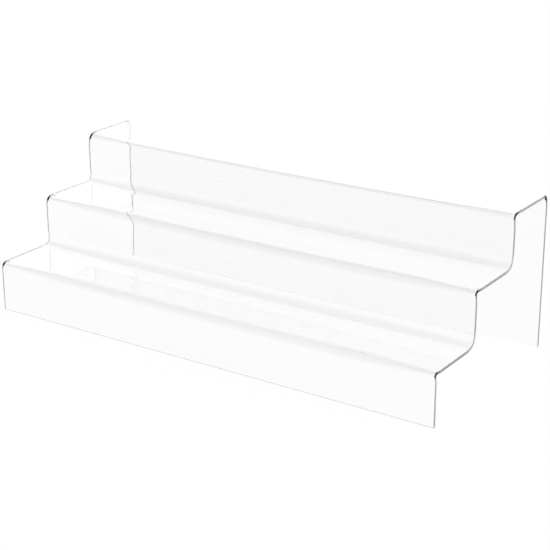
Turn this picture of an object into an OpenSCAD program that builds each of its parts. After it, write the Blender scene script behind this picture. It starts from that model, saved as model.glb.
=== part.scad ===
// Three-tier shelf riser, formed from one rectangular blank of clear acrylic sheet.
//
// The blank is line-bent six times across its width, so the whole riser is one
// zigzag of flat runs joined by quarter-round bends: a front leg, three treads with
// two step faces between them, and a full-height back leg.
//
// Millimetres. X runs along the steps, +Y points to the back and +Z points up. The
// origin is in the middle of the footprint, on the surface that the riser stands on.

/* [Overall] */
// Length of every step, end to end
length = 533; // [300:1:610]
// Front-to-back pitch of the steps
tread_pitch = 76; // [50:1:110]
// Height of each step above the one before it
step_rise = 55; // [40:1:90]

/* [Sheet] */
// Thickness of the acrylic sheet
sheet_t = 3; // [2:0.5:5]

/* [Bends] */
// Mid-sheet radius of the nosing of the front step
front_nosing_r = 6.5; // [5:0.5:14]
// Mid-sheet radius of the nosing of the middle step
middle_nosing_r = 8.5; // [5:0.5:14]
// Mid-sheet radius of the nosing of the top step
top_nosing_r = 10.5; // [5:0.5:14]
// Mid-sheet radius of the two inner corners, where a tread turns up into a step face
inner_corner_r = 10; // [5:0.5:14]
// Mid-sheet radius of the bend from the top step into the back leg
back_bend_r = 7; // [5:0.5:14]

/* [Hidden] */
$fn = 96;

STEPS = 3;
half_t = sheet_t / 2;
depth = STEPS * tread_pitch;
height = STEPS * step_rise;

// Mid-sheet planes: the three upright faces, the back leg and the three treads.
front_y = -depth / 2 + half_t;
upright_y = [for (i = [0 : STEPS - 1]) front_y + i * tread_pitch];
back_y = depth / 2 - half_t;
tread_z = [for (i = [1 : STEPS]) i * step_rise - half_t];

// Corners of the mid-sheet line from the front foot to the back foot, as [y, z].
corners = [
    [upright_y[0], tread_z[0]],
    [upright_y[1], tread_z[0]],
    [upright_y[1], tread_z[1]],
    [upright_y[2], tread_z[1]],
    [upright_y[2], tread_z[2]],
    [back_y, tread_z[2]]
];
radii = [front_nosing_r, inner_corner_r, middle_nosing_r, inner_corner_r, top_nosing_r, back_bend_r];
last = len(corners) - 1;

// The line as it is walked: front foot, the six corners, back foot.
stops = concat([[upright_y[0], 0]], corners, [[back_y, 0]]);
// How much of each stop's run is taken by its bend. The feet have none.
setback = concat([0], radii, [0]);

function unit(v) = v / norm(v);

// A straight strip of sheet between two points of the mid-sheet line.
module flat_run(from, to) {
    direction = unit(to - from);
    side = [-direction.y, direction.x] * half_t;
    polygon([from - side, to - side, to + side, from + side]);
}

// A quarter of a ring, which turns the strip from the run `into` the corner to the run `out` of it.
module bend(corner, into, out, radius) {
    centre = corner + (out - into) * radius;
    reach = 2 * radius;
    intersection() {
        translate(centre) difference() {
            circle(radius + half_t);
            circle(radius - half_t);
        }
        polygon([centre, centre - out * reach, centre - out * reach + into * reach, centre + into * reach]);
    }
}

// The side view of the bent sheet, in the Y-Z plane.
module side_profile() {
    for (i = [0 : last + 1]) {
        direction = unit(stops[i + 1] - stops[i]);
        flat_run(stops[i] + direction * setback[i], stops[i + 1] - direction * setback[i + 1]);
    }
    for (i = [0 : last])
        bend(corners[i], unit(stops[i + 1] - stops[i]), unit(stops[i + 2] - stops[i + 1]), radii[i]);
}

module riser_sheet() {
    color([0.93, 0.95, 0.95, 0.4])
        rotate([90, 0, 90])
            linear_extrude(height = length, center = true)
                side_profile();
}

riser_sheet();
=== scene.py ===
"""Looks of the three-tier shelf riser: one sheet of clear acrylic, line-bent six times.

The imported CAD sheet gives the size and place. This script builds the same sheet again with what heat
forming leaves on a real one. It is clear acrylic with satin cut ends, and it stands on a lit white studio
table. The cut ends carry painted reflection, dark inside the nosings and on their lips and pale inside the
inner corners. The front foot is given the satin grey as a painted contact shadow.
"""

import math

import bmesh
import bpy
from mathutils import Matrix, Vector


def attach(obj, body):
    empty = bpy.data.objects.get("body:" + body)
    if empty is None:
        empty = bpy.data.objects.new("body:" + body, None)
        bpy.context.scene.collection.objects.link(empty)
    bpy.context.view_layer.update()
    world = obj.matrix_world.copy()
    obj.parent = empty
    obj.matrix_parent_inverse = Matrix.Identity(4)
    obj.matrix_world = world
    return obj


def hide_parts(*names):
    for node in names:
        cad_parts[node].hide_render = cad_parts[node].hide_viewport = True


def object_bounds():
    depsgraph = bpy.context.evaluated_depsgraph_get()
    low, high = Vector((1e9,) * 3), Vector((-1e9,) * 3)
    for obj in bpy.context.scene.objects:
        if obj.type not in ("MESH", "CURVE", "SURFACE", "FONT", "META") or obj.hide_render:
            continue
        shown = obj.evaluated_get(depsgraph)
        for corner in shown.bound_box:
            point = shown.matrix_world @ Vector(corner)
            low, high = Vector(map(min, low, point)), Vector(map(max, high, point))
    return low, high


MM = 0.001

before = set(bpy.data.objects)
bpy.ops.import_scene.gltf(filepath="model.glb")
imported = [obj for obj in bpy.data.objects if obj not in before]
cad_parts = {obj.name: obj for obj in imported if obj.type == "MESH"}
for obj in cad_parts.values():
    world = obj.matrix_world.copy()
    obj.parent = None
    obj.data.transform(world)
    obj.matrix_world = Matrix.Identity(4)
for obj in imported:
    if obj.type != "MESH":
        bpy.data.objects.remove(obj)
cad_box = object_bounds()
LOW, HIGH = cad_box

# The riser's driving sizes, as in the CAD part, in metres.
STEPS = 3
SHEET_T = 3 * MM
HALF_T = SHEET_T / 2
FRONT_NOSING_R = 6.5 * MM
MIDDLE_NOSING_R = 8.5 * MM
TOP_NOSING_R = 10.5 * MM
INNER_CORNER_R = 10 * MM
BACK_BEND_R = 7 * MM

LENGTH = HIGH.x - LOW.x
DEPTH = HIGH.y - LOW.y
HEIGHT = HIGH.z - LOW.z
TREAD_PITCH = DEPTH / STEPS
STEP_RISE = HEIGHT / STEPS


# ---------------------------------------------------------------- camera

CAMERA_AT = Vector((0.8317, -1.2101, 0.6105))
CAMERA_LOOKS = Vector((-0.5235, 0.77617, -0.35143))
CAMERA_ROLL = math.radians(-0.218)
LENS_MM = 97.51
SENSOR_MM = 36


def make_camera():
    data = bpy.data.cameras.new("camera")
    data.sensor_width = SENSOR_MM
    data.lens = LENS_MM
    camera = bpy.data.objects.new("camera", data)
    bpy.context.scene.collection.objects.link(camera)
    camera.rotation_mode = "QUATERNION"
    turn = CAMERA_LOOKS.to_track_quat("-Z", "Y")
    roll = Matrix.Rotation(CAMERA_ROLL, 4, "Z").to_quaternion()
    camera.rotation_quaternion = turn @ roll
    camera.location = CAMERA_AT
    bpy.context.scene.camera = camera


# ---------------------------------------------------------------- the bent sheet

FRONT_Y = LOW.y + HALF_T
BACK_Y = HIGH.y - HALF_T
UPRIGHT_Y = [FRONT_Y + i * TREAD_PITCH for i in range(STEPS)]
TREAD_Z = [(i + 1) * STEP_RISE - HALF_T for i in range(STEPS)]

# A bend is given as (size, core share, lean). The size is the radius of the circular bend that would cut
# the corner by as much. The core share of the angle is turned in the hot middle of the bend. A lean above 1
# puts off the turning, so a nosing with one curves gently off the step face and sharply into the tread.
NO_BEND = (0, 0, 1)
FRONT_END = (0.8 * FRONT_NOSING_R, 0.3, 1)
MIDDLE_END = (0.7 * MIDDLE_NOSING_R, 0.3, 1)
TOP_END = (0.8 * TOP_NOSING_R, 0.3, 1)
TOP_MIDDLE = (6 * MM, 0.3, 1)
SOFT_NOSING = (11 * MM, 0.0, 1.7)
INNER_END = (INNER_CORNER_R, 0.4, 1)
SOFT_INNER = (12 * MM, 0.0, 1)
BACK_END = (BACK_BEND_R, 0.3, 1)
BACK_MIDDLE = (BACK_BEND_R, 0.5, 1)

# How far the corners have sunk halfway along the sheet.
NOSING_SAG = 2.6 * MM
INNER_SAG = 0.6 * MM

# The sheet's mid line in profile, from the front foot over the three treads to the back foot: each corner,
# its bend at the sheet's two ends, its bend halfway along, and its sag.
CORNERS = (
    (Vector((UPRIGHT_Y[0], 0)), NO_BEND, NO_BEND, 0),
    (Vector((UPRIGHT_Y[0], TREAD_Z[0])), FRONT_END, SOFT_NOSING, NOSING_SAG),
    (Vector((UPRIGHT_Y[1], TREAD_Z[0])), INNER_END, SOFT_INNER, INNER_SAG),
    (Vector((UPRIGHT_Y[1], TREAD_Z[1])), MIDDLE_END, SOFT_NOSING, NOSING_SAG),
    (Vector((UPRIGHT_Y[2], TREAD_Z[1])), INNER_END, SOFT_INNER, INNER_SAG),
    (Vector((UPRIGHT_Y[2], TREAD_Z[2])), TOP_END, TOP_MIDDLE, NOSING_SAG),
    (Vector((BACK_Y, TREAD_Z[2])), BACK_END, BACK_MIDDLE, 0),
    (Vector((BACK_Y, 0)), NO_BEND, NO_BEND, 0),
)

# The gap that a circular bend of radius 1 leaves at its corner.
ROUND_GAP = math.sqrt(2) - 1
# The share of a bend's length that its hot core takes.
CORE_SPAN = 0.26
# A strip heater's ends run cool, so a bend has another shape there. It changes over this length.
SOFTENS_OVER = 80 * MM

# A bend's free end flares: the stretched outer face draws in, the squeezed inner face swells, the lip lifts.
FLARE_REACH = 4 * MM
OUTER_DRAWS_IN = 0.6 * MM
INNER_SWELLS = 0.8 * MM
LIP_LIFTS = 0.5 * MM
# A bend is this share thinner than the flats.
BEND_THINS = 0.04

# The flats come off the heater a few hundredths of a millimetre out of true.
WAVES = (
    # height, length along the steps, length round the profile, phase
    (0.030 * MM, 171 * MM, 93 * MM, 0.4),
    (0.020 * MM, 97 * MM, 141 * MM, 2.1),
    (0.008 * MM, 53 * MM, 61 * MM, 4.0),
)

# How finely the mesh is divided.
EDGE_R = 0.2 * MM
EDGE_STEPS = 4
FLAT_SPANS = 8
BEND_STEPS = 48
FINE_STEPS = 4
LENGTH_SPANS = 60
NEAR_SPANS = 9
NEAR_REACH = SOFTENS_OVER / 4

# The lip of a nosing, painted dark as a stand-in for reflection, is this many steps wide where "bent" is
# above this value.
PAINTED_LIP_STEPS = 2
PAINTED_LIP_FROM = 0.92


def smooth(value):
    value = min(max(value, 0.0), 1.0)
    return value * value * (3 - 2 * value)


def turned(u, core, lean):
    """Angle turned at fraction u of a bend: the warm margins turn slowly, and the hot core turns sharply."""
    u = u**lean
    margins = u - math.sin(2 * math.pi * u) / (2 * math.pi)
    return math.pi / 2 * ((1 - core) * margins + core * smooth((u - 0.5) / CORE_SPAN + 0.5))


def quarter_bend(core, lean):
    """Points and angles of a bend of length 1, its setbacks from the corner, and the gap it leaves there."""
    here = Vector((0, 0))
    points, angles = [here.copy()], [0.0]
    count = BEND_STEPS * FINE_STEPS
    for k in range(count):
        angle = turned((k + 0.5) / count, core, lean)
        here += Vector((math.cos(angle), math.sin(angle))) / count
        if (k + 1) % FINE_STEPS == 0:
            points.append(here.copy())
            angles.append(turned((k + 1) / count, core, lean))
    gap = min((Vector((here.x, 0)) - point).length for point in points)
    return points, angles, here, gap


def pulled_in(distance, radius):
    """How far a face is drawn back at that distance from a rounded arris."""
    if distance >= radius:
        return 0.0
    return radius - math.sqrt(max(radius**2 - (radius - distance) ** 2, 0.0))


def arris_marks():
    """Distances from an edge at which a rounded arris has stations."""
    return [EDGE_R * (1 - math.cos(math.pi / 2 * i / EDGE_STEPS)) for i in range(EDGE_STEPS + 1)]


def profile(edge, half):
    """Stations round the profile: point, normal of the upper face, length so far, fraction of the bend, and
    which face is outside the bend. Both of the last are 0 on the flats."""
    soft = smooth(edge / SOFTENS_OVER)
    bow = 1 - (1 - edge / half) ** 2
    places = [at - Vector((0, sag * bow)) for at, _, _, sag in CORNERS]
    bends = []
    for _, end, middle, _ in CORNERS:
        size, core, lean = (e + (m - e) * soft for e, m in zip(end, middle))
        points, angles, setback, gap = quarter_bend(core, lean)
        bends.append((points, angles, setback, ROUND_GAP * size / gap))
    stations = []
    travelled = 0.0
    for i, (a, b) in enumerate(zip(places, places[1:])):
        along = (b - a).normalized()
        normal = Vector((-along.y, along.x))
        start = a + along * bends[i][2].y * bends[i][3]
        end = b - along * bends[i + 1][2].x * bends[i + 1][3]
        span = (end - start).length
        marks = [span * k / FLAT_SPANS for k in range(FLAT_SPANS + 1)]
        if i == 0:
            marks = arris_marks() + marks[1:]
        if i == len(places) - 2:
            marks = marks[:-1] + [span - m for m in reversed(arris_marks())]
        for m in marks:
            stations.append((start + along * m, normal, travelled + m, 0, 0))
        travelled += span
        if i + 2 < len(places):
            out = (places[i + 2] - b).normalized()
            side = -1 if out.dot(normal) > 0 else 1
            points, angles, _, size = bends[i + 1]
            for k in range(1, BEND_STEPS):
                point = end + (along * points[k].x + out * points[k].y) * size
                heading = (along * math.cos(angles[k]) + out * math.sin(angles[k])).normalized()
                upward = Vector((-heading.y, heading.x))
                done = k / BEND_STEPS
                stations.append((point, upward, travelled + size * done, done, side))
            travelled += size
    return stations, travelled


def bend_weight(station):
    """How far into a bend a station is: 0 on the flats, 1 in the middle of the bend."""
    return math.sin(math.pi * station[3]) ** 2


def length_marks(half):
    """Places along the steps, close together near the two ends."""
    near = arris_marks() + [EDGE_R + NEAR_REACH * (k / NEAR_SPANS) ** 2 for k in range(1, NEAR_SPANS + 1)]
    inside = half - near[-1]
    between = [-inside + 2 * inside * k / LENGTH_SPANS for k in range(1, LENGTH_SPANS)]
    return [m - half for m in near] + between + [half - m for m in reversed(near)]


def waviness(x, s):
    return sum(h * math.sin(2 * math.pi * x / lx + phase) * math.sin(2 * math.pi * s / ls + 2 * phase)
               for h, lx, ls, phase in WAVES)


def place(x, half, station, total, face):
    """One point of the upper (face 1) or under (face -1) side of the sheet."""
    point, normal, s, _, side = station
    bend = bend_weight(station)
    edge = half - abs(x)
    flare = bend * math.exp(-edge / FLARE_REACH)
    drawn = max(pulled_in(edge, EDGE_R), pulled_in(min(s, total - s), EDGE_R))
    thick = HALF_T * (1 - BEND_THINS * bend) - drawn
    lift = side * LIP_LIFTS * flare + waviness(x, s)
    spot = point + normal * (face * thick + lift)
    inward = OUTER_DRAWS_IN if face == side else -INNER_SWELLS
    return x - math.copysign(inward * flare, x), spot.x, spot.y


def make_sheet():
    """The whole sheet as one closed mesh. The cut ends, the lips of the nosings and the front foot have the
    second material. On the lips and the front foot its grey is painted reflection and painted contact shadow.
    The attribute "bent" is 0.5 on the flats, 1 inside nosings and 0 inside inner corners. It masks the
    painted reflection."""
    half = LENGTH / 2
    mesh = bmesh.new()
    bent = mesh.verts.layers.float.new("bent")
    grid = []
    for x in length_marks(half):
        stations, total = profile(half - abs(x), half)
        column = []
        for station in stations:
            pair = [mesh.verts.new(place(x, half, station, total, face)) for face in (1, -1)]
            for vertex in pair:
                # The "bent" value is also the mask for the painted reflection on the cut ends.
                vertex[bent] = 0.5 + 0.5 * station[4] * bend_weight(station)
            column.append(pair)
        grid.append(column)
    across, round_it = len(grid) - 1, len(grid[0]) - 1

    def patch(corners, cut):
        mesh.faces.new(corners).material_index = 1 if cut else 0

    for j, (a, b) in enumerate(zip(grid, grid[1:])):
        from_end = min(j, across - 1 - j)
        at_end = from_end < EDGE_STEPS
        at_painted_lip = from_end < EDGE_STEPS + PAINTED_LIP_STEPS
        for i in range(round_it):
            # Second material: the cut ends, the nosing lips as painted dark reflection, and the front foot's
            # arris (i < EDGE_STEPS) as painted contact shadow.
            in_nosing = min(a[i][0][bent], a[i + 1][0][bent]) > PAINTED_LIP_FROM
            cut = at_end or i < EDGE_STEPS or (at_painted_lip and in_nosing)
            patch((a[i][0], b[i][0], b[i + 1][0], a[i + 1][0]), cut)
            patch((a[i][1], a[i + 1][1], b[i + 1][1], b[i][1]), cut)
        # The front foot's face is always second material, as a painted contact shadow. The back foot stays
        # clear.
        patch((a[0][0], a[0][1], b[0][1], b[0][0]), True)
        patch((a[-1][0], b[-1][0], b[-1][1], a[-1][1]), at_end)
    for column in (grid[0], grid[-1]):
        for i in range(round_it):
            patch((column[i][0], column[i][1], column[i + 1][1], column[i + 1][0]), True)
    bmesh.ops.recalc_face_normals(mesh, faces=mesh.faces)
    data = bpy.data.meshes.new("riser_sheet_formed")
    mesh.to_mesh(data)
    mesh.free()
    for polygon in data.polygons:
        polygon.use_smooth = True
    sheet = bpy.data.objects.new("riser_sheet_formed", data)
    bpy.context.scene.collection.objects.link(sheet)
    return sheet


# ---------------------------------------------------------------- materials

ACRYLIC_IOR = 1.491
ABSORBED_PER_M = 1.7
ACRYLIC_TINT = 0.975

# Handling haze: patches of very slight roughness, where the noise rises above its middle.
HAZE_SCALE = 38
HAZE_DETAIL = 5
HAZE_ROUGHNESS = 0.62
HAZE_FROM = (0.56, 0.80)
HAZE_TO = (0.0, 0.05)

# Greys of the cut ends by the attribute "bent": satin grey on the flats, with painted reflection that is pale
# inside the inner corners and dark inside the nosings.
CUT_AND_PAINTED_GREYS = (
    (0.15, 0.85),
    (0.40, 0.55),
    (0.675, 0.55),
    (0.925, 0.0),
)
CUT_TRANSMITS = 0.5
CUT_ROUGHNESS = 0.25


def grey(level):
    return (level, level, level, 1)


def new_material(name):
    material = bpy.data.materials.new(name)
    material.use_nodes = True
    tree = material.node_tree
    return material, tree, tree.nodes["Principled BSDF"]


def grey_ramp(tree, rows, interpolation):
    """A ramp through rows of (position, level)."""
    ramp = tree.nodes.new("ShaderNodeValToRGB")
    ramp.color_ramp.interpolation = interpolation
    while len(ramp.color_ramp.elements) < len(rows):
        ramp.color_ramp.elements.new(0.5)
    for element, (position, level) in zip(ramp.color_ramp.elements, rows):
        element.position = position
        element.color = grey(level)
    return ramp


def absorb_inside(tree):
    depth = tree.nodes.new("ShaderNodeVolumeAbsorption")
    depth.inputs["Color"].default_value = grey(0.0)
    depth.inputs["Density"].default_value = ABSORBED_PER_M
    tree.links.new(depth.outputs[0], tree.nodes["Material Output"].inputs["Volume"])


def clear_acrylic():
    """The faces of the sheet as they were cast: clear, glossy, and very slightly hazed by handling."""
    material, tree, shader = new_material("clear_acrylic")
    shader.inputs["Base Color"].default_value = grey(ACRYLIC_TINT)
    shader.inputs["Transmission Weight"].default_value = 1
    shader.inputs["IOR"].default_value = ACRYLIC_IOR
    where = tree.nodes.new("ShaderNodeTexCoord")
    haze = tree.nodes.new("ShaderNodeTexNoise")
    haze.inputs["Scale"].default_value = HAZE_SCALE
    haze.inputs["Detail"].default_value = HAZE_DETAIL
    haze.inputs["Roughness"].default_value = HAZE_ROUGHNESS
    rough = tree.nodes.new("ShaderNodeMapRange")
    rough.inputs["From Min"].default_value = HAZE_FROM[0]
    rough.inputs["From Max"].default_value = HAZE_FROM[1]
    rough.inputs["To Min"].default_value = HAZE_TO[0]
    rough.inputs["To Max"].default_value = HAZE_TO[1]
    tree.links.new(where.outputs["Object"], haze.inputs["Vector"])
    tree.links.new(haze.outputs["Fac"], rough.inputs["Value"])
    tree.links.new(rough.outputs["Result"], shader.inputs["Roughness"])
    absorb_inside(tree)
    return material


def cut_edge_and_painted_shade():
    """The sheet's two ends as the saw and a light sanding left them: satin grey, with painted reflection
    darker inside the nosings and paler inside the inner corners. The lips of the nosings and the front foot
    take it too, as painted dark reflection and painted contact shadow."""
    material, tree, shader = new_material("cut_edge_and_painted_shade")
    where = tree.nodes.new("ShaderNodeAttribute")
    where.attribute_name = "bent"
    # Painted reflection: dark inside the nosings and pale inside the inner corners, with satin grey on the
    # flats.
    shade = grey_ramp(tree, CUT_AND_PAINTED_GREYS, "LINEAR")
    tree.links.new(where.outputs["Fac"], shade.inputs["Fac"])
    tree.links.new(shade.outputs["Color"], shader.inputs["Base Color"])
    shader.inputs["Transmission Weight"].default_value = CUT_TRANSMITS
    shader.inputs["IOR"].default_value = ACRYLIC_IOR
    shader.inputs["Roughness"].default_value = CUT_ROUGHNESS
    absorb_inside(tree)
    return material


# ---------------------------------------------------------------- studio

# The table is lit to full white: it glows by this much and adds a little of the light that falls on it.
FLOOR_REACH = 12
FLOOR_GLOW = 0.98
FLOOR_COLOUR = 0.06

# Brightness of the studio by the sine of the elevation. Behind the riser the white backdrop reaches
# high up. In front of it there is a lower white wall with a dim room above. The ceiling is nearly black.
BACKDROP = (
    (0.0, 1.04),
    (0.10, 1.06),
    (0.20, 1.20),
    (0.52, 1.20),
    (0.74, 0.02),
    (0.88, 0.02),
    (0.96, 0.25),
)
ROOM = (
    (0.0, 1.04),
    (0.13, 1.04),
    (0.20, 0.95),
    (0.50, 0.45),
    (0.72, 0.02),
    (0.88, 0.02),
    (0.96, 0.25),
)
# The room gives way to the backdrop between these two values of the direction's Y.
FRONT_TO_BACK = (-0.25, 0.25)

# Light has to cross many faces of the sheet before it is lost.
CLEAR_BOUNCES = 160
DIFFUSE_BOUNCES = 4


def make_floor():
    r = FLOOR_REACH
    mesh = bpy.data.meshes.new("floor")
    mesh.from_pydata([(-r, -r, 0), (r, -r, 0), (r, r, 0), (-r, r, 0)], [], [(0, 1, 2, 3)])
    floor = bpy.data.objects.new("floor", mesh)
    bpy.context.scene.collection.objects.link(floor)
    material, tree, shader = new_material("white_floor")
    shader.inputs["Base Color"].default_value = grey(FLOOR_COLOUR)
    shader.inputs["Roughness"].default_value = 1
    shader.inputs["Specular IOR Level"].default_value = 0
    shader.inputs["Emission Color"].default_value = grey(1)
    shader.inputs["Emission Strength"].default_value = FLOOR_GLOW
    mesh.materials.append(material)


def make_world():
    world = bpy.data.worlds.new("studio")
    bpy.context.scene.world = world
    world.use_nodes = True
    tree = world.node_tree
    coords = tree.nodes.new("ShaderNodeTexCoord")
    split = tree.nodes.new("ShaderNodeSeparateXYZ")
    side = tree.nodes.new("ShaderNodeMapRange")
    side.interpolation_type = "SMOOTHSTEP"
    side.inputs["From Min"].default_value = FRONT_TO_BACK[0]
    side.inputs["From Max"].default_value = FRONT_TO_BACK[1]
    mix = tree.nodes.new("ShaderNodeMixRGB")
    tree.links.new(coords.outputs["Generated"], split.inputs[0])
    tree.links.new(split.outputs["Y"], side.inputs["Value"])
    tree.links.new(side.outputs["Result"], mix.inputs["Fac"])
    for rows, socket in ((ROOM, "Color1"), (BACKDROP, "Color2")):
        ramp = grey_ramp(tree, rows, "EASE")
        tree.links.new(split.outputs["Z"], ramp.inputs["Fac"])
        tree.links.new(ramp.outputs["Color"], mix.inputs[socket])
    tree.links.new(mix.outputs["Color"], tree.nodes["Background"].inputs["Color"])


def set_look():
    scene = bpy.context.scene
    scene.view_settings.view_transform = "Standard"
    scene.view_settings.look = "None"
    scene.cycles.max_bounces = CLEAR_BOUNCES
    scene.cycles.transmission_bounces = CLEAR_BOUNCES
    scene.cycles.glossy_bounces = CLEAR_BOUNCES
    scene.cycles.diffuse_bounces = DIFFUSE_BOUNCES


make_camera()
set_look()
make_world()
make_floor()
sheet = make_sheet()
sheet.data.materials.append(clear_acrylic())
sheet.data.materials.append(cut_edge_and_painted_shade())
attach(sheet, "root")
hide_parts("riser_sheet")
